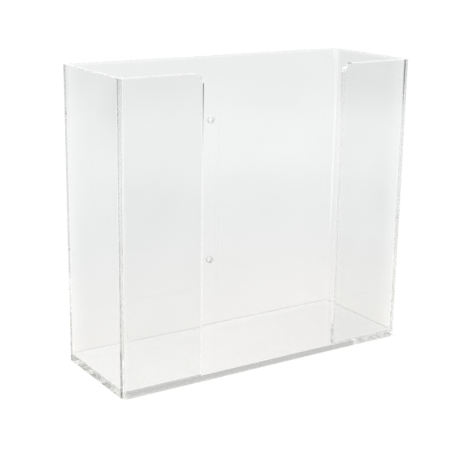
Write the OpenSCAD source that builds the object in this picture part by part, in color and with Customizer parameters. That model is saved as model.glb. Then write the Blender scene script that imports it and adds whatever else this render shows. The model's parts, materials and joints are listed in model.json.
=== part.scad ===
// Open-topped clear acrylic holder for two boxes of disposable gloves.
// One sheet is heat-bent four times into a body that wraps round from one front
// flange to the other, and it is cemented on edge to a flat base plate.
// Millimetres. The origin is the centre of the underside, +Z is up, the front is -Y.

/* [Holder] */
// Width across the outer faces of the two sides
holder_w = 280; // [240:1:420]
// Depth from the front faces of the flanges to the back face
holder_d = 102; // [70:1:160]
// Height from the surface it stands on to the top rim
holder_h = 252; // [160:1:400]

/* [Sheet] */
// Thickness of the sheet that is bent into the body
wall_t = 4.8; // [3:0.1:8]
// Thickness of the flat base plate
base_t = 5.6; // [3:0.1:8]
// Radius on the inside of each heat bend
bend_inner_r = 1.5; // [1:0.1:6]
// Radius of the polished arris on each cut edge that stays exposed
arris_r = 0.5; // [0.2:0.1:1.2]

/* [Dispensing slot] */
// Width of the full-height opening between the two front flanges
slot_w = 136; // [80:1:164]
// Radius of the rounded upper corner of each flange
flange_corner_r = 8; // [3:0.5:16]

/* [Wall fixing] */
// Diameter of each of the two screw holes in the back panel
screw_hole_d = 6.4; // [3:0.1:12]
// Height of the lower screw hole above the standing surface
screw_low_z = 68; // [25:1:70]
// Distance of the upper screw hole below the top rim
screw_rim_drop = 56; // [20:1:70]

/* [Hidden] */

$fn = 96;
// How far a drill runs past each face of the panel that it goes through
drill_past = 1;
acrylic = [0.86, 0.90, 0.90, 0.45];

// The two faces of a bend are concentric, so the sheet keeps its thickness round it
bend_outer_r = bend_inner_r + wall_t;
// Centres of the bends
bend_x = holder_w / 2 - bend_outer_r;
bend_y = holder_d / 2 - bend_outer_r;
// Flat stretch of a front flange, from its bend to where its upper corner starts
flange_flat = (holder_w - slot_w) / 2 - bend_outer_r - flange_corner_r;
// The body stands on the base plate
wall_h = holder_h - base_t;

// Section of a plate out to a free edge at x = reach, with its arrises rounded.
// The near arris is at y = 0 and the far one at y = thickness.
module eased_edge(reach, thickness, far_arris = true) {
    square([reach - arris_r, thickness]);
    translate([0, arris_r])
        square([reach, thickness - (far_arris ? 2 : 1) * arris_r]);
    translate([reach - arris_r, arris_r])
        circle(r = arris_r);
    if (far_arris)
        translate([reach - arris_r, thickness - arris_r])
            circle(r = arris_r);
}

// Section of the standing sheet: outer face at x = 0, inner face at x = -wall_t
module wall_section() {
    rotate(90)
        eased_edge(wall_h, wall_t);
}

// Flat stretch of the sheet along +X, with its outer face towards +Y
module wall_run(length) {
    rotate([90, 0, 90])
        linear_extrude(length)
            wall_section();
}

// Quarter turn of the sheet about its bend line
module heat_bend() {
    rotate_extrude(angle = 90)
        translate([bend_outer_r, 0])
            wall_section();
}

// Free end of a flange along +X: the rounded arris runs along the rim, round the
// upper corner and down the edge of the slot
module flange_end() {
    corner_z = wall_h - flange_corner_r;
    translate([0, -wall_t, 0])
        linear_extrude(corner_z)
            eased_edge(flange_corner_r, wall_t);
    translate([0, 0, corner_z])
        rotate([90, 0, 0])
            rotate_extrude(angle = 90)
                eased_edge(flange_corner_r, wall_t);
}

// Everything on the right of the back panel, in the order in which the sheet is bent
module side_and_flange() {
    translate([bend_x, bend_y, 0])
        heat_bend();
    translate([holder_w / 2, bend_y, 0])
        rotate([0, 0, -90])
            wall_run(2 * bend_y);
    translate([bend_x, -bend_y, 0])
        rotate([0, 0, -90])
            heat_bend();
    translate([bend_x, -holder_d / 2, 0])
        rotate([0, 0, 180]) {
            wall_run(flange_flat);
            translate([flange_flat, 0, 0])
                flange_end();
        }
}

// Screw holes on the centre line of the back panel
module screw_holes() {
    for (z = [screw_low_z, holder_h - screw_rim_drop])
        translate([0, holder_d / 2 + drill_past, z])
            rotate([90, 0, 0])
                cylinder(d = screw_hole_d, h = wall_t + 2 * drill_past);
}

module bent_body() {
    color(acrylic)
        difference() {
            translate([0, 0, base_t]) {
                translate([-bend_x, holder_d / 2, 0])
                    wall_run(2 * bend_x);
                for (flip = [0, 1])
                    mirror([flip, 0, 0])
                        side_and_flange();
            }
            screw_holes();
        }
}

// Border of the base plate: square above, where the body is cemented on flush,
// and eased below
module base_border() {
    eased_edge(bend_outer_r, base_t, far_arris = false);
}

// The plate's outline follows the outer faces of the body
module base_plate() {
    color(acrylic) {
        translate([-bend_x, -bend_y, 0])
            cube([2 * bend_x, 2 * bend_y, base_t]);
        for (turn = [0, 180])
            rotate([0, 0, turn]) {
                translate([bend_x, bend_y, 0])
                    rotate([90, 0, 0])
                        linear_extrude(2 * bend_y)
                            base_border();
                translate([-bend_x, bend_y, 0])
                    rotate([90, 0, 90])
                        linear_extrude(2 * bend_x)
                            base_border();
                translate([bend_x, bend_y, 0])
                    rotate_extrude(angle = 90)
                        base_border();
                translate([-bend_x, bend_y, 0])
                    rotate([0, 0, 90])
                        rotate_extrude(angle = 90)
                            base_border();
            }
    }
}

bent_body();
base_plate();
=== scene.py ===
import collections
import itertools
import json
import math
import random

import bpy
from mathutils import Matrix, Vector, noise


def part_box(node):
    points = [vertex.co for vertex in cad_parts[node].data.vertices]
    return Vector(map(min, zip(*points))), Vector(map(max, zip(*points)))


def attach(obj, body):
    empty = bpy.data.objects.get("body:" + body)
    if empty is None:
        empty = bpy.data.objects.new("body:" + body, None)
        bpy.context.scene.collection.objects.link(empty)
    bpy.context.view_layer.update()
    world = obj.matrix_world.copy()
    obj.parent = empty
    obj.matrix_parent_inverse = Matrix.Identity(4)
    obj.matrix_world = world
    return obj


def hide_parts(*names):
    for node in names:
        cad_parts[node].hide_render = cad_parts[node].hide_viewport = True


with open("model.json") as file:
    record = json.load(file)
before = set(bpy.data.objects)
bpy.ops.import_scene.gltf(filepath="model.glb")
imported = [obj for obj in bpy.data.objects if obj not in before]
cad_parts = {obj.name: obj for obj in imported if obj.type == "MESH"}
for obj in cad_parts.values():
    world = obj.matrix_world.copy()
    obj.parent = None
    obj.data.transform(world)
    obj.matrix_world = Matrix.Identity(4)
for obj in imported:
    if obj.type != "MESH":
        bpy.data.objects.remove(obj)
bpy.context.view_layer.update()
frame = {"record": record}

bl_info = {
    "name": "Clear glove box holder",
    "version": (1, 0, 0),
    "blender": (4, 5, 0),
    "location": "3D View > Sidebar > Glove Holder",
    "description": "Builds a clear acrylic holder for glove boxes, and a studio to show it in",
    "category": "Object",
}

BODY_LOW, BODY_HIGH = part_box("bent_body")
BASE_LOW, BASE_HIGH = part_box("base_plate")
MM = 0.001
UP = Vector((0, 0, 1))
DOWN = -UP
FRONT = Vector((0, -1, 0))
BACK = -FRONT
LEFT = Vector((-1, 0, 0))
RIGHT = -LEFT
# Points closer than this in each coordinate are one point. Other points never share a cell of this size
CLOSE = 0.0001 * MM
CELL = 0.001 * MM
# How far a normal may be off and still count as square to a side, and a guard on counts of steps
SQUARE_ENOUGH = 0.001
ROUNDING = 1e-6
# Steps in a quarter turn of an arris, a bead or a rounded corner
ARRIS_STEPS = 6
BEAD_STEPS = 5
CORNER_STEPS = 16
# Longest side of a face on the flat stretches
FLAT_STEP = 16 * MM
# The square of finer faces round a screw hole: half its side in hole radii, and the steps along a side
SQUARE_REACH = 2.5
SQUARE_STEPS = 8
# Rings of faces round a screw hole, from its rim at 0 out to the square at 1
HOLE_RINGS = (0.0, 0.15, 0.45, 1.0)
# Sides of an air pocket round its waist, and from its top to its bottom
POCKET_AROUND = 10
POCKET_DOWN = 6
# Where an air pocket lies across the sheet, its length, and its width and height, as shares of the most
POCKET_PLACE = (0.2, 0.8)
POCKET_LENGTH = (0.2, 1.0)
POCKET_SECTION = (0.4, 1.0)
# Widest air pocket as a share of the sheet's thickness, and its depth as a share of its full height
POCKET_WIDEST = 0.35
POCKET_DEPTH = 0.6
# Values of the cut_edge attribute: a polished edge, and a bore that the drill left dull
POLISHED = 1.0
DRILLED = 2.0
# Where the main view's camera stands. The floor's painted shade starts from the same place, so that
# it shows only through the holder there, and it stays where it is in the other views
MAIN_EYE = (-0.504, -0.7562, 0.3603)


# ---------------------------------------------------------------- settings


def size(name, text, default, high=1.0):
    """A length in metres that a user may change."""
    return bpy.props.FloatProperty(
        name=name, description=text, default=default, min=0.0, max=high,
        precision=5, unit="LENGTH", subtype="DISTANCE",
    )


def share(name, text, default, high=1.0, low=0.0):
    """A plain number that a user may change."""
    return bpy.props.FloatProperty(
        name=name, description=text, default=default, min=low, max=high, precision=3
    )


def count(name, text, default, high):
    """A whole number that a user may change."""
    return bpy.props.IntProperty(name=name, description=text, default=default, min=0, max=high)


def colour(name, text, default, high=1.0):
    """A colour that a user may change."""
    return bpy.props.FloatVectorProperty(
        name=name, description=text, default=default, size=3, min=0.0, max=high, subtype="COLOR"
    )


def spot(name, text, default):
    """A point that a user may move."""
    return bpy.props.FloatVectorProperty(
        name=name, description=text, default=default, size=3, subtype="XYZ", unit="LENGTH"
    )


def angle(name, text, degrees):
    """An angle that a user may change."""
    return bpy.props.FloatProperty(
        name=name, description=text, default=math.radians(degrees), subtype="ANGLE", unit="ROTATION"
    )


class HolderSheetSettings(bpy.types.PropertyGroup):
    """Sheet"""

    wall_t: size("Sheet thickness", "Thickness of the sheet that is bent into the body", 4.8 * MM)
    bend_inner_r: size("Bend radius", "Radius on the inside of each heat bend", 1.5 * MM)
    arris_r: size("Arris radius", "Radius of the polished arris on each cut edge", 0.5 * MM)
    slot_w: size("Slot width", "Width of the opening between the front flanges", 136 * MM)
    corner_r: size("Flange corner", "Radius of the rounded upper corner of each flange", 8 * MM)
    bend_steps: count("Bend steps", "Faces round each heat bend", 24, 64)


class HolderJointSettings(bpy.types.PropertyGroup):
    """Cemented joint"""

    bead_r: size("Bead", "Radius of the bead of cement along the inside of the joint", 0.2 * MM)
    melt_depth: size("Melt depth", "How far the cement melts the two sheets into each other", 0.05 * MM)
    air_count: count("Air pockets", "Pockets of air that are tried for along the joint", 2600, 5000)
    air_length: size("Air pocket length", "Length of the longest air pocket", 4 * MM)
    air_height: size("Air pocket height", "Height of the thickest air pocket", 0.9 * MM)
    air_clumps: share("Clumps", "Clumps of air pockets to the metre", 60.0, 500.0)
    airy_from: share("Airy end", "Where the airy right end of the front starts, in half widths", 0.68)
    airy_mark: share("Airy mark", "Clump noise that leaves air where there is much", -0.05, low=-1.0)
    tight_mark: share("Tight mark", "Clump noise that leaves air where there is little", 0.5)
    seed: count("Seed", "Start of the random draws that place the air pockets", 7, 1000)


class HolderFinishSettings(bpy.types.PropertyGroup):
    """Acrylic"""

    clear: colour("Face", "Colour that one face of the sheet lets through", (0.962, 0.966, 0.964))
    edge: colour("Cut edge", "Colour that a polished cut edge lets through", (0.985, 0.988, 0.986))
    bore: colour("Bore", "Colour that the wall of a screw hole lets through", (0.93, 0.935, 0.93))
    depth_tint: colour("Depth tint", "Colour that a long way through leaves", (0.64, 0.645, 0.625))
    body_density: share("Body density", "Build-up of the tint in the sheet, per metre", 2.0, 200.0)
    base_density: share("Base density", "Build-up of the tint in the plate, per metre", 4.4, 200.0)
    ior: share("Refractive index", "Refractive index of acrylic", 1.49, 2.0)
    edge_haze: share("Edge haze", "Roughness that polishing leaves on a cut edge", 0.015)
    drill_haze: share("Drill haze", "Roughness that the drill leaves in a screw hole", 0.75)
    scratch_haze: share("Scratch haze", "Roughness along a hairline scratch", 0.16)
    smear_haze: share("Smear haze", "Roughness where the faces have been wiped", 0.012)
    relief: size("Relief", "Height of the acrylic's unevenness", 0.004 * MM)
    clouding: share("Clouding", "How much the clearness of the sheet varies", 0.018)


class HolderStudioSettings(bpy.types.PropertyGroup):
    """Studio"""

    # Painted light: the floor under and round the holder is drawn brighter and warmer than further off,
    # a painted pool of light
    painted_pool_colour: colour("Floor near", "Colour of the floor under the holder", (1.05, 1.035, 1.017), 2.0)
    floor_away: colour("Floor away", "Colour of the floor further off", (1.0, 1.006, 1.004), 2.0)
    # Painted light: how much the floor under the holder is drawn darker towards the right
    floor_slope: share("Floor slope", "How much the light under the holder falls to the right", 0.07)
    # Painted shadow: these set the holder's shade that is drawn on the glowing floor, which no light
    # casts
    shade: share("Shade", "How much the holder shades the floor behind it", 0.10)
    deep_shade: share("Deep shade", "How much deeper the shade is behind the holder", 0.04)
    light_shade: share("Light shade", "How much lighter the shade is further off", 0.02)
    overhead_power: bpy.props.FloatProperty(
        name="Overhead light", description="Power of the light over the holder", default=3.0,
        min=0.0, unit="POWER",
    )
    room_level: share("Room level", "Brightness of the room beyond the white sweep", 0.78, 2.0)
    window_level: share("Window level", "Brightness of the window behind the holder", 3.5, 20.0)
    wall_level: share("Soft box level", "Brightness of the soft boxes", 1.5, 8.0)
    key: spot("Shade source", "Place that the painted shade falls away from, with no lamp", MAIN_EYE)
    eye: spot("Camera place", "Where the camera stands", MAIN_EYE)
    view_azimuth: angle("Camera azimuth", "Way the camera looks, from +Y towards +X", 32.906)
    view_dip: angle("Camera dip", "How far the camera looks down", 15.317)
    view_roll: angle("Camera roll", "How far the camera leans over", 0.791)
    lens: bpy.props.FloatProperty(
        name="Lens", description="Focal length of the camera", default=87.55, subtype="DISTANCE_CAMERA"
    )


SETTINGS = {
    "holder_sheet": HolderSheetSettings,
    "holder_joint": HolderJointSettings,
    "holder_finish": HolderFinishSettings,
    "holder_studio": HolderStudioSettings,
}


# ---------------------------------------------------------------- mesh code


def newell(points):
    """A vector square to a face, as long as twice its area."""
    total = Vector((0, 0, 0))
    for p, q in zip(points, points[1:] + points[:1]):
        total += Vector(p).cross(Vector(q))
    return total


def spread(start, end, step):
    """Evenly spaced numbers from start to end, no further apart than step."""
    steps = max(1, math.ceil(abs(end - start) / step - ROUNDING))
    return [start + (end - start) * i / steps for i in range(steps + 1)]


def quarter_turn(steps):
    """(sine, cosine) of evenly spaced angles from 0 to 90 degrees."""
    angles = [math.pi / 2 * i / steps for i in range(steps + 1)]
    return [(math.sin(a), math.cos(a)) for a in angles]


class Shell:
    """A mesh in the making: points are shared, and each face corner has its own normal."""

    def __init__(self):
        self.points = []
        self.index = {}
        self.faces = []
        self.normals = []
        self.cut = []

    def vertex(self, point):
        """Number of the point, which is an earlier one where that is as good as there."""
        sides = [{math.floor((c - CLOSE) / CELL), math.floor((c + CLOSE) / CELL)} for c in point]
        for key in itertools.product(*sides):
            if key in self.index:
                return self.index[key]
        self.index[tuple(math.floor(c / CELL) for c in point)] = len(self.points)
        self.points.append(tuple(point))
        return len(self.points) - 1

    def face(self, corners, cut=0.0):
        """Adds a face from (point, normal) pairs, turned so that it faces the way its normals do."""
        ids, kept = [], []
        for point, normal in corners:
            v = self.vertex(point)
            if v not in ids:
                ids.append(v)
                kept.append(Vector(normal))
        if len(ids) < 3:
            return
        outward = sum(kept, Vector((0, 0, 0)))
        if newell([self.points[v] for v in ids]).dot(outward) < 0:
            ids.reverse()
            kept.reverse()
        self.faces.append(ids)
        self.normals.extend(kept)
        self.cut.append(cut)

    def strip(self, near, far, cut=0.0):
        """Adds quads between two rows of (point, normal) pairs."""
        for a, b, c, d in zip(near, near[1:], far[1:], far):
            self.face([a, b, c, d], cut)

    def piece(self, name, material):
        """Makes the mesh into an object. The cut_edge attribute marks polished edges and bores."""
        mesh = bpy.data.meshes.new(name)
        mesh.from_pydata(self.points, [], self.faces)
        mesh.normals_split_custom_set([n.normalized() for n in self.normals])
        mark = mesh.attributes.new("cut_edge", "FLOAT", "FACE")
        mark.data.foreach_set("value", self.cut)
        mesh.materials.append(material)
        obj = bpy.data.objects.new(name, mesh)
        bpy.context.scene.collection.objects.link(obj)
        return obj


class Plan:
    """Where the bent sheet stands. Its columns run along it, from the left slot edge to the right."""

    def __init__(self, scene):
        sheet, joint = scene.holder_sheet, scene.holder_joint
        self.t = sheet.wall_t
        self.arris = sheet.arris_r
        self.corner = sheet.corner_r
        self.bead = joint.bead_r
        self.melt = joint.melt_depth
        self.half_slot = sheet.slot_w / 2
        self.bend_r = sheet.bend_inner_r + sheet.wall_t
        self.bend_steps = sheet.bend_steps
        self.half_w, self.half_d = BASE_HIGH.x, BASE_HIGH.y
        self.bend_x = self.half_w - self.bend_r
        self.bend_y = self.half_d - self.bend_r
        self.z_low, self.z_top = BODY_LOW.z, BODY_HIGH.z
        self.z_corner = self.z_top - self.corner
        self.read_screws()
        self.stations = self.left_half() + self.right_half()
        self.rows = self.row_heights()

    def read_screws(self):
        """Takes the two screw holes from the mount in the packed record."""
        mount = next(m for m in frame["record"]["mounts"] if m["name"] == "wall_screws")
        middle, gap = mount["pos_m"][2], mount["dims"]["spacing_y_mm"] * MM
        self.hole_r = mount["dims"]["hole_r_mm"] * MM
        self.hole_z = [middle - gap / 2, middle + gap / 2]
        self.square = SQUARE_REACH * self.hole_r

    def bend(self, x, y, start, end):
        """Stations round one heat bend, without its two ends."""
        turns = quarter_turn(self.bend_steps)[1:-1]
        normals = [start * c + end * s for s, c in turns]
        return [(Vector((x, y, 0)) + n * self.bend_r, n) for n in normals]

    def left_half(self):
        """(point, outward normal) on the outer face at each column, from the slot to mid-back."""
        reach = [self.corner - (self.corner - self.arris) * c for s, c in quarter_turn(CORNER_STEPS)]
        reach += spread(self.corner, self.bend_x - self.half_slot, FLAT_STEP)[1:]
        out = [(Vector((-self.half_slot - u, -self.half_d, 0)), FRONT) for u in reach]
        out += self.bend(-self.bend_x, -self.bend_y, FRONT, LEFT)
        side = spread(-self.bend_y, self.bend_y, FLAT_STEP)
        out += [(Vector((-self.half_w, y, 0)), LEFT) for y in side]
        out += self.bend(-self.bend_x, self.bend_y, LEFT, BACK)
        wide = spread(self.square, self.bend_x, FLAT_STEP)
        fine = spread(0, self.square, 2 * self.square / SQUARE_STEPS)
        out += [(Vector((-x, self.half_d, 0)), BACK) for x in reversed(fine[:-1] + wide)]
        return out

    def right_half(self):
        """The mirror image of the left half, without the middle of the back."""
        half = self.left_half()[:-1]
        return [(Vector((-p.x, p.y, 0)), Vector((-n.x, n.y, 0))) for p, n in reversed(half)]

    def row_heights(self):
        """Heights of the rows of faces, from the foot to where the flange corners start."""
        edges = [self.z_low]
        for z in self.hole_z:
            edges += [z - self.square, z + self.square]
        edges.append(self.z_corner)
        rows = [self.z_low]
        for i, (low, high) in enumerate(zip(edges, edges[1:])):
            step = 2 * self.square / SQUARE_STEPS if i % 2 else FLAT_STEP
            rows += spread(low, high, step)[1:]
        return rows

    def top_of(self, column):
        """Height of the top of a column, below the arris of the rim."""
        from_end = min(column, len(self.stations) - 1 - column, CORNER_STEPS)
        turn = math.pi / 2 * from_end / CORNER_STEPS
        return self.z_corner + (self.corner - self.arris) * math.sin(turn)

    def on_face(self, column, z, depth):
        """(point, normal) on the outer face at depth 0, or on the inner one at full thickness."""
        p, n = self.stations[column]
        return (p - n * depth + UP * z, n if depth == 0 else -n)

    def edge_profile(self):
        """(inset, depth, outward share, edge share) across a cut edge, from outer to inner face."""
        r, t = self.arris, self.t
        half = [(r - r * s, r - r * c, c, s) for s, c in quarter_turn(ARRIS_STEPS)]
        return half + [(inset, t - depth, -out, edge) for inset, depth, out, edge in reversed(half)]

    def edge_row(self, point, normal, way):
        """(point, normal) pairs across the cut edge at point; way leads from there into the sheet."""
        return [
            (point + way * inset - normal * depth, normal * out - way * edge)
            for inset, depth, out, edge in self.edge_profile()
        ]

    def free_edge(self):
        """(point, outward normal, way in) up the left slot edge, round the rim and down the right."""
        foot = Vector((-self.half_slot, -self.half_d, 0))
        left = [(foot + UP * z, FRONT, LEFT) for z in self.rows[1:]]
        middle = foot + LEFT * self.corner + UP * self.z_corner
        for s, c in quarter_turn(CORNER_STEPS)[1:]:
            way = LEFT * c - UP * s
            left.append((middle - way * self.corner, FRONT, way))
        rim = self.stations[CORNER_STEPS + 1:-CORNER_STEPS - 1]
        top = [(p + UP * self.z_top, n, DOWN) for p, n in rim]
        return left + top + [tuple(mirrored(v) for v in sample) for sample in reversed(left)]

    def foot_line(self):
        """(point, normal, bead radius) along the sheet's foot, from slot edge to slot edge inside."""
        slot_edge = self.edge_row(Vector((-self.half_slot, -self.half_d, self.z_low)), FRONT, LEFT)
        left = []
        for (p, n), (inset, depth, out, edge) in zip(slot_edge, self.edge_profile()):
            if out > 0:
                into_slot = FRONT if edge == 0 else RIGHT
                left.append((p, into_slot, self.bead * edge))
            else:
                left.append((p, n, self.bead))
        inside = [(p - n * self.t + UP * self.z_low, -n, self.bead) for p, n in self.stations]
        right = [(mirrored(p), mirrored(n), r) for p, n, r in reversed(left)]
        return left + inside[1:-1] + right


def mirrored(v):
    """A point or a way on the other side of the holder."""
    return Vector((-v.x, v.y, v.z))


def bead_rows(foot):
    """Rows of (point, normal) pairs down the bead of cement, from the sheet to the plate."""
    rows = []
    for s, c in quarter_turn(BEAD_STEPS):
        rows.append([(p + n * r * (1 - c) + UP * r * (1 - s), n * c + UP * s) for p, n, r in foot])
    return rows


# ---------------------------------------------------------------- bent sheet


def in_square(plan, x, z):
    """True inside one of the squares of finer faces round the screw holes."""
    return abs(x) < plan.square and any(abs(z - h) < plan.square for h in plan.hole_z)


def add_sheet_face(shell, plan, depth, bottom):
    """The outer or the inner face of the sheet, without the squares round the screw holes."""
    rows = [bottom] + plan.rows[1:]
    for c in range(len(plan.stations) - 1):
        heights = [(z, z) for z in rows] + [(plan.top_of(c), plan.top_of(c + 1))]
        x = (plan.stations[c][0].x + plan.stations[c + 1][0].x) / 2
        on_back = plan.stations[c][1].y > 1 - SQUARE_ENOUGH
        for low, high in zip(heights, heights[1:]):
            if on_back and in_square(plan, x, (low[0] + high[0]) / 2):
                continue
            corners = [(c, low[0]), (c + 1, low[1]), (c + 1, high[1]), (c, high[0])]
            shell.face([plan.on_face(k, z, depth) for k, z in corners])


def square_ring(half, steps):
    """Points round a square, from one corner back to it."""
    side = [-half + 2 * half * i / steps for i in range(steps)]
    ring = [(v, -half) for v in side] + [(half, v) for v in side]
    ring += [(-v, half) for v in side] + [(-half, -v) for v in side]
    return ring + ring[:1]


def add_screw_hole(shell, plan, z):
    """One drilled hole: its bore, and the square of both faces round it."""
    ring = square_ring(plan.square, SQUARE_STEPS)

    def point(x, dz, depth, out):
        scale = plan.hole_r / math.hypot(x, dz) * (1 - out) + out
        return Vector((x * scale, plan.half_d - depth, z + dz * scale))

    for depth, way in ((0.0, BACK), (plan.t, FRONT)):
        rows = [[(point(x, dz, depth, out), way) for x, dz in ring] for out in HOLE_RINGS]
        for near, far in zip(rows, rows[1:]):
            shell.strip(near, far)
    inward = [Vector((-x, 0, -dz)).normalized() for x, dz in ring]
    bore = [[(point(x, dz, d, 0.0), n) for (x, dz), n in zip(ring, inward)] for d in (0.0, plan.t)]
    shell.strip(bore[0], bore[1], DRILLED)


def add_cut_edge(shell, plan, foot):
    """The cut edge with its two arrises, from the bead at one slot edge round to the other."""
    rows = [plan.edge_row(*sample) for sample in plan.free_edge()]
    across = len(plan.edge_profile())
    top_of_bead = bead_rows(foot)[0]
    rows.insert(0, top_of_bead[:across])
    rows.append(list(reversed(top_of_bead[-across:])))
    for near, far in zip(rows, rows[1:]):
        shell.strip(near, far, POLISHED)


def add_foot(shell, plan, foot):
    """The bead of cement, and the sheet's sawn underside, melted a hair into the plate."""
    rows = bead_rows(foot)
    for near, far in zip(rows, rows[1:]):
        shell.strip(near, far, POLISHED)
    sink = DOWN * plan.melt
    low = [point for point, _ in rows[-1]]
    outer = [(p + UP * plan.z_low, n) for p, n in plan.stations]
    outer = [(low[0], FRONT)] + outer + [(low[-1], FRONT)]
    sunk_outer = [(p - n * plan.melt + sink, n) for p, n in outer]
    inner = [(p, n) for p, (_, n, _) in zip(low, foot)]
    sunk_inner = [(p - n * plan.melt + sink, n) for p, n in inner]
    shell.strip(outer, sunk_outer, POLISHED)
    shell.strip(inner, sunk_inner, POLISHED)
    add_underside(shell, plan, sunk_outer, sunk_inner)


def add_underside(shell, plan, outer, inner):
    """Quads under the sheet, and a cap under each slot edge."""
    across = len(plan.edge_profile())
    middle = inner[across - 1:len(inner) - across + 1]
    shell.strip([(p, DOWN) for p, n in outer[1:-1]], [(p, DOWN) for p, n in middle], POLISHED)
    caps = [inner[:across] + [outer[1]], inner[-across:] + [outer[-2]]]
    for cap in caps:
        shell.face([(p, DOWN) for p, n in cap], POLISHED)


class HOLDER_OT_body(bpy.types.Operator):
    """Builds the bent sheet, with its cut edges, its screw holes and the bead of cement"""

    bl_idname = "holder.body"
    bl_label = "Bent body"

    def execute(self, context):
        plan = Plan(context.scene)
        foot = plan.foot_line()
        shell = Shell()
        add_sheet_face(shell, plan, 0.0, plan.z_low)
        add_sheet_face(shell, plan, plan.t, plan.z_low + plan.bead)
        for z in plan.hole_z:
            add_screw_hole(shell, plan, z)
        add_cut_edge(shell, plan, foot)
        add_foot(shell, plan, foot)
        finish = context.scene.holder_finish
        piece = shell.piece("bent_sheet", acrylic("body_acrylic_clear", finish, finish.body_density))
        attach(piece, "root")
        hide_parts("bent_body")
        return {"FINISHED"}


# ---------------------------------------------------------------- base plate


def plate_outline(plan):
    """(point, outward normal) round the plate, back to where it starts."""
    reach = plan.half_slot + plan.arris
    front = [(Vector((x, -plan.half_d, 0)), FRONT) for x in spread(reach, -reach, FLAT_STEP)]
    return plan.stations + front[1:]


def add_plate(shell, plan):
    """A flat plate with square upper edges and eased lower ones."""
    r = plan.arris
    outline = plate_outline(plan)
    rows = [[(p + UP * BASE_HIGH.z, n) for p, n in outline]]
    for s, c in quarter_turn(ARRIS_STEPS):
        z = BASE_LOW.z + r * (1 - s)
        rows.append([(p - n * r * (1 - c) + UP * z, n * c - UP * s) for p, n in outline])
    for near, far in zip(rows, rows[1:]):
        shell.strip(near, far, POLISHED)
    shell.face([(p, UP) for p, n in rows[0]])
    shell.face([(p, DOWN) for p, n in rows[-1]])


def add_air_pocket(shell, middle, along, extent):
    """A flat closed cavity. Its faces look into the cavity, which is outside the plate."""
    half = [v / 2 for v in extent]
    axes = [along, UP.cross(along), UP]

    def corner(i, j):
        turn = 2 * math.pi * i / POCKET_AROUND
        dip = math.pi * j / POCKET_DOWN
        ball = (math.cos(turn) * math.sin(dip), math.sin(turn) * math.sin(dip), math.cos(dip))
        offset = sum((a * b * h for a, b, h in zip(axes, ball, half)), Vector((0, 0, 0)))
        outward = sum((a * b / h for a, b, h in zip(axes, ball, half)), Vector((0, 0, 0)))
        return (middle + offset, -outward.normalized())

    rows = [[corner(i, j) for i in range(POCKET_AROUND)] for j in range(POCKET_DOWN + 1)]
    for near, far in zip(rows, rows[1:]):
        shell.strip(near + near[:1], far + far[:1])


def sparseness(plan, joint, p, n):
    """What the clump noise must pass for air to be left: little at the left and the front right end."""
    if n.x < -0.5 or (n.y < 0 and p.x > joint.airy_from * plan.half_w):
        return joint.airy_mark
    return joint.tight_mark


def pocket_fits(plan, middle, along, extent, others):
    """True if a pocket stays under one straight stretch of the sheet, clear of the other pockets."""
    length, width, _ = extent
    on_side = abs(along.y) > 0.5
    stretch = plan.bend_y if on_side else plan.bend_x
    in_slot = middle.y < 0 and abs(middle.x) - length / 2 < plan.half_slot + plan.arris
    if abs(middle.dot(along)) + length / 2 > stretch or (in_slot and not on_side):
        return False
    for other, other_length in others:
        gap = middle - other
        if gap.length < (length + other_length) / 2 and abs(gap.dot(UP.cross(along))) < width:
            return False
    return True


def add_air(shell, plan, joint):
    """Air that the cement left in the joint, in clumps under the sheet."""
    draw = random.Random(joint.seed)
    flats = [(p, n) for p, n in plan.stations if abs(n.x * n.y) < SQUARE_ENOUGH]
    depth = plan.melt + POCKET_DEPTH * joint.air_height
    widest = POCKET_WIDEST * plan.t
    placed = []
    for _ in range(joint.air_count):
        p, n = draw.choice(flats)
        along = UP.cross(n)
        slide = draw.uniform(-0.5, 0.5) * FLAT_STEP
        inset = draw.uniform(*POCKET_PLACE) * plan.t
        # Squared, so that most of the pockets are short
        length = joint.air_length * draw.uniform(*POCKET_LENGTH) ** 2
        width = min(length, widest) * draw.uniform(*POCKET_SECTION)
        height = joint.air_height * draw.uniform(*POCKET_SECTION)
        extent = (length, width, height)
        middle = p + along * slide - n * inset + UP * (plan.z_low - depth)
        wanted = noise.noise(middle * joint.air_clumps) > sparseness(plan, joint, p, n)
        if wanted and pocket_fits(plan, middle, along, extent, placed):
            placed.append((middle, length))
            add_air_pocket(shell, middle, along, extent)


class HOLDER_OT_base(bpy.types.Operator):
    """Builds the base plate, with the air that the cement left in its joint"""

    bl_idname = "holder.base"
    bl_label = "Base plate"

    def execute(self, context):
        plan = Plan(context.scene)
        shell = Shell()
        add_plate(shell, plan)
        add_air(shell, plan, context.scene.holder_joint)
        finish = context.scene.holder_finish
        piece = shell.piece("plate", acrylic("base_acrylic_clear", finish, finish.base_density))
        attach(piece, "root")
        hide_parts("base_plate")
        return {"FINISHED"}


# ---------------------------------------------------------------- materials

# Marks to the metre in the acrylic's noises
CLOUDS = 14
SMEARS = 30
WAVES = 9
SCRATCHES = 900
SCRATCH_PATCHES = 35
POLISH_PATCHES = 700
POLISH_LINES = 2600
# How closely each noise runs along X, Y and Z. It is drawn out where the number is small
SCRATCH_STRETCH = (1, 0.02, 1)
POLISH_STRETCH = (1, 1, 3)
LINE_STRETCH = (0.06, 0.06, 1)
# Noise at which each mark starts and is full
CLOUD_STEP = (0.3, 0.7)
SMEAR_STEP = (0.56, 0.72)
SCRATCH_STEP = (0.735, 0.76)
SCRATCH_PATCH_STEP = (0.55, 0.65)
POLISH_STEP = (0.35, 0.7)
# The edge haze at the best and the worst polished places, as shares of its setting
POLISH_RANGE = (0.2, 1.6)
# The two ways that the scratches run, in radians, and the share of each by which it is also tipped
SCRATCH_WAYS = (0.5, 2.1)
SCRATCH_TIP = 0.6
# Parts of the full relief that each noise takes
WAVE_SHARE = 0.12
GROUND_SHARE = 0.35
LINE_SHARE = 0.012
BUMP_STRENGTH = 0.3


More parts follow.
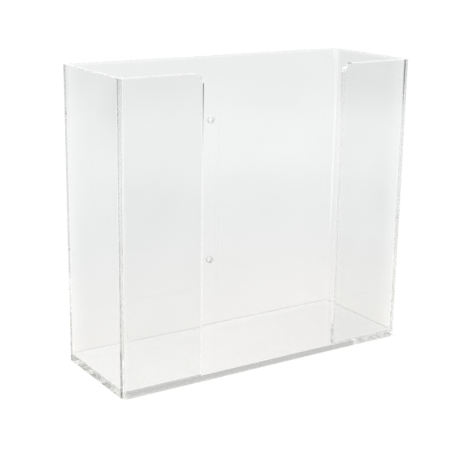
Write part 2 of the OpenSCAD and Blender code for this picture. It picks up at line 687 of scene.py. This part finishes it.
class Nodes:
    """Short ways to add and join shader nodes."""

    def __init__(self, tree):
        self.tree = tree
        self.tree.nodes.clear()

    def add(self, kind, values=None, **settings):
        """A new node, with its own settings and the values or links of its inputs."""
        node = self.tree.nodes.new(kind)
        for name, value in settings.items():
            setattr(node, name, value)
        for socket, value in (values or {}).items():
            self.feed(node.inputs[socket], value)
        return node

    def feed(self, socket, value):
        """Links the socket to another one, or sets its value."""
        if isinstance(value, bpy.types.NodeSocket):
            self.tree.links.new(value, socket)
        else:
            socket.default_value = value

    def math(self, operation, *values):
        """One step of arithmetic."""
        node = self.tree.nodes.new("ShaderNodeMath")
        node.operation = operation
        for i, value in enumerate(values):
            self.feed(node.inputs[i], value)
        return node.outputs[0]

    def ramp(self, value, low, high, to_low=0.0, to_high=1.0):
        """A smooth step from to_low to to_high as value goes from low to high."""
        values = {0: value, 1: low, 2: high, 3: to_low, 4: to_high}
        return self.add("ShaderNodeMapRange", values, interpolation_type="SMOOTHSTEP").outputs[0]

    def blend(self, low, high, mask):
        """low where mask is 0, high where it is 1."""
        return self.math("ADD", low, self.math("MULTIPLY", self.math("SUBTRACT", high, low), mask))

    def mix(self, low, high, mask):
        """The same for two colours, which this node takes at its inputs 6 and 7."""
        node = self.add("ShaderNodeMix", {0: mask, 6: low, 7: high}, data_type="RGBA")
        return node.outputs[2]

    def noise(self, place, scale, detail=2.0, stretch=(1, 1, 1)):
        """Noise with about scale bumps to the metre, drawn out where stretch is small."""
        drawn = self.add("ShaderNodeVectorMath", {0: place, 1: stretch}, operation="MULTIPLY")
        values = {"Vector": drawn.outputs[0], "Scale": scale, "Detail": detail}
        return self.add("ShaderNodeTexNoise", values).outputs[0]

    def band(self, value, middle, half, soft):
        """1 within half of middle and 0 beyond, with a soft step."""
        off = self.math("ABSOLUTE", self.math("SUBTRACT", value, middle))
        return self.ramp(off, half - soft, half + soft, 1.0, 0.0)

    def sector(self, bearing, middle, half, soft):
        """The same for a bearing in degrees, which wraps round."""
        turned = self.math("WRAP", self.math("SUBTRACT", bearing, middle), 180.0, -180.0)
        return self.ramp(self.math("ABSOLUTE", turned), half - soft, half + soft, 1.0, 0.0)

    def part(self, level, bearing, part, mask=1.0):
        """The level with one part of the surround laid over it."""
        sector = self.sector(bearing, part.bearing, part.half, part.soft)
        return self.blend(level, part.level, self.math("MULTIPLY", sector, mask))

    def through(self):
        """0 where the backdrop is looked at directly, 1 where the acrylic refracts or mirrors it."""
        direct = self.add("ShaderNodeLightPath").outputs["Is Camera Ray"]
        return self.math("SUBTRACT", 1.0, direct)

    def bearing(self, x, y):
        """Degrees from +Y towards +X."""
        return self.math("MULTIPLY", self.math("ARCTAN2", x, y), 180 / math.pi)


def rgba(value):
    """A colour with full alpha."""
    return (*value, 1.0)


def hairlines(n, place, turn):
    """1 along a few hairline scratches that run one way over the sheet, 0 beside them."""
    values = {"Vector": place, "Rotation": (turn, SCRATCH_TIP * turn, turn)}
    turned = n.add("ShaderNodeVectorRotate", values, rotation_type="EULER_XYZ")
    streak = n.noise(turned.outputs[0], SCRATCHES, 0.0, SCRATCH_STRETCH)
    line = n.ramp(streak, *SCRATCH_STEP)
    patch = n.ramp(n.noise(place, SCRATCH_PATCHES, 1.0), *SCRATCH_PATCH_STEP)
    return n.math("MULTIPLY", line, patch)


def acrylic_tint(n, f, place, cut, drilled):
    """Colour of one crossing: a slightly cloudy sheet, clearer cut edges and duller bores."""
    cloud = n.ramp(n.noise(place, CLOUDS), *CLOUD_STEP)
    cloudy = tuple(c * (1 - f.clouding) for c in f.clear)
    face = n.mix(rgba(f.clear), rgba(cloudy), cloud)
    return n.mix(n.mix(face, rgba(f.edge), cut), rgba(f.bore), drilled)


def acrylic_haze(n, f, place, polish, cut, drilled):
    """Roughness: smears and scratches on the faces, patches on the cut edges, and drilled bores."""
    scratch = n.math("ADD", *[hairlines(n, place, turn) for turn in SCRATCH_WAYS])
    smear = n.ramp(n.noise(place, SMEARS), *SMEAR_STEP, 0.0, f.smear_haze)
    face_haze = n.math("ADD", smear, n.math("MULTIPLY", scratch, f.scratch_haze))
    edge_haze = n.math("MULTIPLY", n.ramp(polish, *POLISH_STEP, *POLISH_RANGE), f.edge_haze)
    return n.blend(n.blend(face_haze, edge_haze, cut), f.drill_haze, drilled)


def acrylic_bump(n, f, place, polish, cut):
    """A long faint wave over the faces, and fine polishing lines on the cut edges."""
    wave = n.noise(place, WAVES, 0.0)
    lines = n.math("MULTIPLY", n.noise(place, POLISH_LINES, 2.0, LINE_STRETCH), LINE_SHARE)
    ground = n.math("MULTIPLY", n.math("ADD", lines, polish), GROUND_SHARE)
    height = n.blend(n.math("MULTIPLY", wave, WAVE_SHARE), ground, cut)
    values = {"Strength": BUMP_STRENGTH, "Distance": f.relief, "Height": height}
    return n.add("ShaderNodeBump", values).outputs[0]


def acrylic(name, f, density):
    """Clear acrylic: a slightly uneven sheet, with hairline scratches and polished cut edges."""
    material = bpy.data.materials.new(name)
    material.use_nodes = True
    n = Nodes(material.node_tree)
    out = n.add("ShaderNodeOutputMaterial")
    place = n.add("ShaderNodeTexCoord").outputs["Object"]
    mark = n.add("ShaderNodeAttribute", attribute_name="cut_edge").outputs["Fac"]
    cut = n.math("MINIMUM", mark, POLISHED)
    drilled = n.math("MAXIMUM", n.math("SUBTRACT", mark, POLISHED), 0.0)
    polish = n.noise(place, POLISH_PATCHES, 1.0, POLISH_STRETCH)
    surface = n.add(
        "ShaderNodeBsdfPrincipled",
        {
            "Base Color": acrylic_tint(n, f, place, cut, drilled),
            "Transmission Weight": 1.0,
            "IOR": f.ior,
            "Roughness": acrylic_haze(n, f, place, polish, cut, drilled),
            "Normal": acrylic_bump(n, f, place, polish, cut),
        },
    )
    inside = n.add("ShaderNodeVolumeAbsorption", {"Color": rgba(f.depth_tint), "Density": density})
    n.feed(out.inputs["Surface"], surface.outputs[0])
    n.feed(out.inputs["Volume"], inside.outputs[0])
    return material


# ---------------------------------------------------------------- studio

# A part of the surround: the bearing of its middle, half its width and the softness of its sides,
# all in degrees from +Y towards +X, and its brightness, which is None where a setting gives it
Part = collections.namedtuple("Part", "bearing half soft level")
# Parts of the floor far from the holder
DARK_LEFT = Part(309, 14, 5.0, 0.42)
DARK_FRONT = Part(208, 14, 5.0, 0.5)
PALE_LEFT = Part(270, 25, 5.0, 0.93)
WHITE_BACK = Part(15, 40, 5.0, 1.0)
DOORWAY = Part(321.5, 6, 2.5, 0.2)
# Brightness of the walls between their parts, from the floor upwards, and the parts
LOW_WALL = 0.95
LOW_MIDDLE = Part(0, 14, 5.0, 1.0)
GLOW_WALL = 0.93
GLOW_MIDDLE = Part(30, 22, 14.0, 1.35)
BOX_WALL = 0.97
SOFT_BOXES = Part(178, 116, 8.0, None)
FLAG_RIGHT = Part(37, 15, 6.0, 0.65)
FLAG_LEFT = Part(315, 7, 4.0, 0.7)
WINDOW = Part(-8, 26, 6.0, None)
# Elevations in degrees at which each strip of the walls gives way to the next
GLOW_STEP = (4, 6)
BOX_STEP = (10.5, 13.5)
CEILING_STEP = (28, 33)
# The ceiling: the elevations between which it brightens, and its brightness at both
CEILING_RISE = (40, 75)
CEILING_LEVELS = (1.12, 1.9)
# The window's middle, half its height and its softness, as elevations
WINDOW_HEIGHT = (33, 7, 3.0)
# Distances from the holder over which the white sweep turns into the room, and the doorway darkens
SWEEP_EDGE = (1.2, 1.8)
DOORWAY_EDGE = (0.8, 1.75)
# Distance from the holder at which the floor has its far colour, where the painted pool of light round
# the holder has faded out
FLOOR_TONE_END = 0.3
# Softness of the shade: its sides in degrees, and its ends and its line of contact in metres
SHADE_SOFT = 0.6
NEAR_FADE = 0.02
FAR_FADE = 0.08
CONTACT_FADE = 0.006
# The deep shade: its share close behind the holder, where it grows to the full, and where it ends
DEEP_START = 0.9
DEEP_RISE = (0.05, 0.2)
DEEP_END = (0.35, 0.7)
# The band of light shade: its middle, half its width and its softness
LIGHT_BAND = (0.9, 0.25, 0.15)
# Half a side of the floor, and how far it lies under the holder, so that the two don't touch
FLOOR_HALF = 30.0
FLOOR_DROP = 0.0004
# The soft light over the holder
OVERHEAD_HEIGHT = 1.6
OVERHEAD_SIZE = (0.7, 0.5)
# Width of the camera's sensor in millimetres
SENSOR_WIDTH = 36
# Crossings that are followed, because light trapped in a sheet takes many before it comes out
TRAPPED_BOUNCES = 96


def beyond(n, value, limit):
    """How far a coordinate lies beyond the holder's side, on either side."""
    return n.math("MAXIMUM", n.math("SUBTRACT", n.math("ABSOLUTE", value), limit), 0.0)


def distance(n, x, y):
    """How far a place is from the middle, from its two coordinates."""
    return n.math("SQRT", n.math("ADD", n.math("MULTIPLY", x, x), n.math("MULTIPLY", y, y)))


def product(n, *masks):
    """All the masks multiplied together."""
    total = masks[0]
    for mask in masks[1:]:
        total = n.math("MULTIPLY", total, mask)
    return total


def floor_shade(n, s, x, y, off):
    """How much the holder shades the floor. The floor glows, so its shade is painted, not cast."""
    key_x, key_y, key_z = s.key
    half_x, half_y = BASE_HIGH.x, BASE_HIGH.y
    corners = [(-half_x, half_y), (half_x, -half_y)]
    low, high = [math.degrees(math.atan2(cx - key_x, cy - key_y)) for cx, cy in corners]
    from_key = n.bearing(n.math("SUBTRACT", x, key_x), n.math("SUBTRACT", y, key_y))
    wedge = n.band(from_key, (low + high) / 2, (high - low) / 2 - SHADE_SOFT, SHADE_SOFT)
    throw = key_z / (key_z - BODY_HIGH.z)
    masks = [wedge]
    for place, half, key in ((x, half_x, key_x), (y, half_y, key_y)):
        end = key + throw * (half - key)
        masks.append(n.ramp(place, -half, NEAR_FADE - half))
        masks.append(n.ramp(place, end - FAR_FADE, end, 1.0, 0.0))
    deep = n.ramp(off, *DEEP_RISE, DEEP_START * s.deep_shade, s.deep_shade)
    deep = n.math("MULTIPLY", deep, n.ramp(off, *DEEP_END, 1.0, 0.0))
    light = n.math("MULTIPLY", n.band(off, *LIGHT_BAND), s.light_shade)
    depth = n.math("ADD", s.shade, n.math("SUBTRACT", deep, light))
    return product(n, depth, n.ramp(off, 0.0, CONTACT_FADE), *masks)


def floor_level(n, s, x, y, off):
    """Brightness of the floor: the white sweep round the holder, and the room beyond it, less the
    holder's painted shade, with a painted fall of light under the holder.
    """
    away = distance(n, x, y)
    bearing = n.bearing(x, y)
    room = s.room_level
    for part in (DARK_LEFT, DARK_FRONT, PALE_LEFT, WHITE_BACK):
        room = n.part(room, bearing, part)
    level = n.blend(1.0, room, product(n, n.through(), n.ramp(away, *SWEEP_EDGE)))
    level = n.part(level, bearing, DOORWAY, product(n, n.through(), n.ramp(away, *DOORWAY_EDGE)))
    level = n.math("SUBTRACT", level, floor_shade(n, s, x, y, off))
    # Painted light: under the holder the floor is drawn from full brightness on the left to floor_slope
    # less on the right
    under = n.ramp(x, -BASE_HIGH.x, BASE_HIGH.x, 1.0, 1.0 - s.floor_slope)
    return n.blend(n.math("MULTIPLY", level, under), level, n.ramp(off, 0.0, CONTACT_FADE / 2))


def make_floor(s):
    """The pale floor, which gives its own light."""
    mesh = bpy.data.meshes.new("floor")
    half, z = FLOOR_HALF, -FLOOR_DROP
    corners = [(-half, -half, z), (half, -half, z), (half, half, z), (-half, half, z)]
    mesh.from_pydata(corners, [], [(0, 1, 2, 3)])
    floor = bpy.data.objects.new("floor", mesh)
    bpy.context.scene.collection.objects.link(floor)
    material = bpy.data.materials.new("pale_floor")
    material.use_nodes = True
    n = Nodes(material.node_tree)
    out = n.add("ShaderNodeOutputMaterial")
    place = n.add("ShaderNodeSeparateXYZ", {0: n.add("ShaderNodeNewGeometry").outputs["Position"]})
    x, y = place.outputs[0], place.outputs[1]
    off = distance(n, beyond(n, x, BASE_HIGH.x), beyond(n, y, BASE_HIGH.y))
    # The painted pool of light round the holder fades into the floor's far colour
    tone = n.mix(rgba(s.painted_pool_colour), rgba(s.floor_away), n.ramp(off, 0.0, FLOOR_TONE_END))
    glow = n.add("ShaderNodeEmission", {"Color": tone, "Strength": floor_level(n, s, x, y, off)})
    n.feed(out.inputs["Surface"], glow.outputs[0])
    mesh.materials.append(material)


def world_level(n, s, x, y, z):
    """Brightness of the room: pale walls, soft boxes at the sides and in front, a window, a ceiling."""
    bearing = n.bearing(x, y)
    height = n.math("MULTIPLY", n.math("ARCSINE", z), 180 / math.pi)
    wall = n.part(LOW_WALL, bearing, LOW_MIDDLE)
    glow = n.part(GLOW_WALL, bearing, GLOW_MIDDLE)
    boxes = n.part(BOX_WALL, bearing, SOFT_BOXES._replace(level=s.wall_level))
    boxes = n.part(n.part(boxes, bearing, FLAG_RIGHT), bearing, FLAG_LEFT)
    ceiling = n.ramp(height, *CEILING_RISE, *CEILING_LEVELS)
    level = n.blend(wall, glow, n.ramp(height, *GLOW_STEP))
    level = n.blend(level, boxes, n.ramp(height, *BOX_STEP))
    level = n.blend(level, ceiling, n.ramp(height, *CEILING_STEP))
    window = WINDOW._replace(level=s.window_level)
    level = n.part(level, bearing, window, n.band(height, *WINDOW_HEIGHT))
    return n.blend(1.0, level, n.through())


def make_world(s):
    """The surround that the acrylic mirrors and refracts."""
    world = bpy.data.worlds.new("studio")
    bpy.context.scene.world = world
    world.use_nodes = True
    n = Nodes(world.node_tree)
    out = n.add("ShaderNodeOutputWorld")
    way = n.add("ShaderNodeSeparateXYZ", {0: n.add("ShaderNodeTexCoord").outputs["Generated"]})
    level = world_level(n, s, *way.outputs)
    back = n.add("ShaderNodeBackground", {"Color": (1.0, 1.0, 1.0, 1.0), "Strength": level})
    n.feed(out.inputs["Surface"], back.outputs[0])


def soft_light(name, place, size_xy, power):
    """A soft rectangular light that shines straight down."""
    lamp = bpy.data.lights.new(name, "AREA")
    lamp.shape = "RECTANGLE"
    lamp.size, lamp.size_y = size_xy
    lamp.energy = power
    obj = bpy.data.objects.new(name, lamp)
    obj.location = place
    bpy.context.scene.collection.objects.link(obj)


def make_camera(s):
    """The camera, turned to its bearing, tipped down and leaned over."""
    lens = bpy.data.cameras.new("camera")
    lens.lens = s.lens
    lens.sensor_width = SENSOR_WIDTH
    camera = bpy.data.objects.new("camera", lens)
    bpy.context.scene.collection.objects.link(camera)
    azimuth = Matrix.Rotation(-s.view_azimuth, 4, "Z")
    dip = Matrix.Rotation(math.pi / 2 - s.view_dip, 4, "X")
    roll = Matrix.Rotation(s.view_roll, 4, "Z")
    camera.matrix_world = Matrix.Translation(Vector(s.eye)) @ azimuth @ dip @ roll
    bpy.context.scene.camera = camera


class HOLDER_OT_stage(bpy.types.Operator):
    """Builds the floor, the lights and the camera"""

    bl_idname = "holder.stage"
    bl_label = "Studio"

    def execute(self, context):
        s = context.scene.holder_studio
        make_floor(s)
        make_world(s)
        soft_light("overhead", UP * OVERHEAD_HEIGHT, OVERHEAD_SIZE, s.overhead_power)
        make_camera(s)
        context.scene.view_settings.view_transform = "Standard"
        cycles = context.scene.cycles
        cycles.max_bounces = TRAPPED_BOUNCES
        cycles.glossy_bounces = TRAPPED_BOUNCES
        cycles.transmission_bounces = TRAPPED_BOUNCES
        return {"FINISHED"}


class HOLDER_PT_panel(bpy.types.Panel):
    """The holder's pieces, in the order in which they are built"""

    bl_idname = "HOLDER_PT_panel"
    bl_label = "Glove Holder"
    bl_space_type = "VIEW_3D"
    bl_region_type = "UI"
    bl_category = "Glove Holder"

    def draw(self, context):
        for operator in OPERATORS:
            self.layout.operator(operator.bl_idname)
        for name, group in SETTINGS.items():
            box = self.layout.box()
            box.label(text=group.__doc__)
            for key in group.__annotations__:
                box.prop(getattr(context.scene, name), key)


OPERATORS = [HOLDER_OT_body, HOLDER_OT_base, HOLDER_OT_stage]
CLASSES = [*SETTINGS.values(), *OPERATORS, HOLDER_PT_panel]


def register():
    """Makes the settings, the operators and the panel known to Blender."""
    for cls in CLASSES:
        bpy.utils.register_class(cls)
    for name, group in SETTINGS.items():
        setattr(bpy.types.Scene, name, bpy.props.PointerProperty(type=group))


def unregister():
    """Takes them out again."""
    for name in SETTINGS:
        delattr(bpy.types.Scene, name)
    for cls in reversed(CLASSES):
        bpy.utils.unregister_class(cls)


def main():
    """Builds every piece and the studio."""
    register()
    bpy.ops.holder.body()
    bpy.ops.holder.base()
    bpy.ops.holder.stage()


if __name__ == "__main__":
    main()
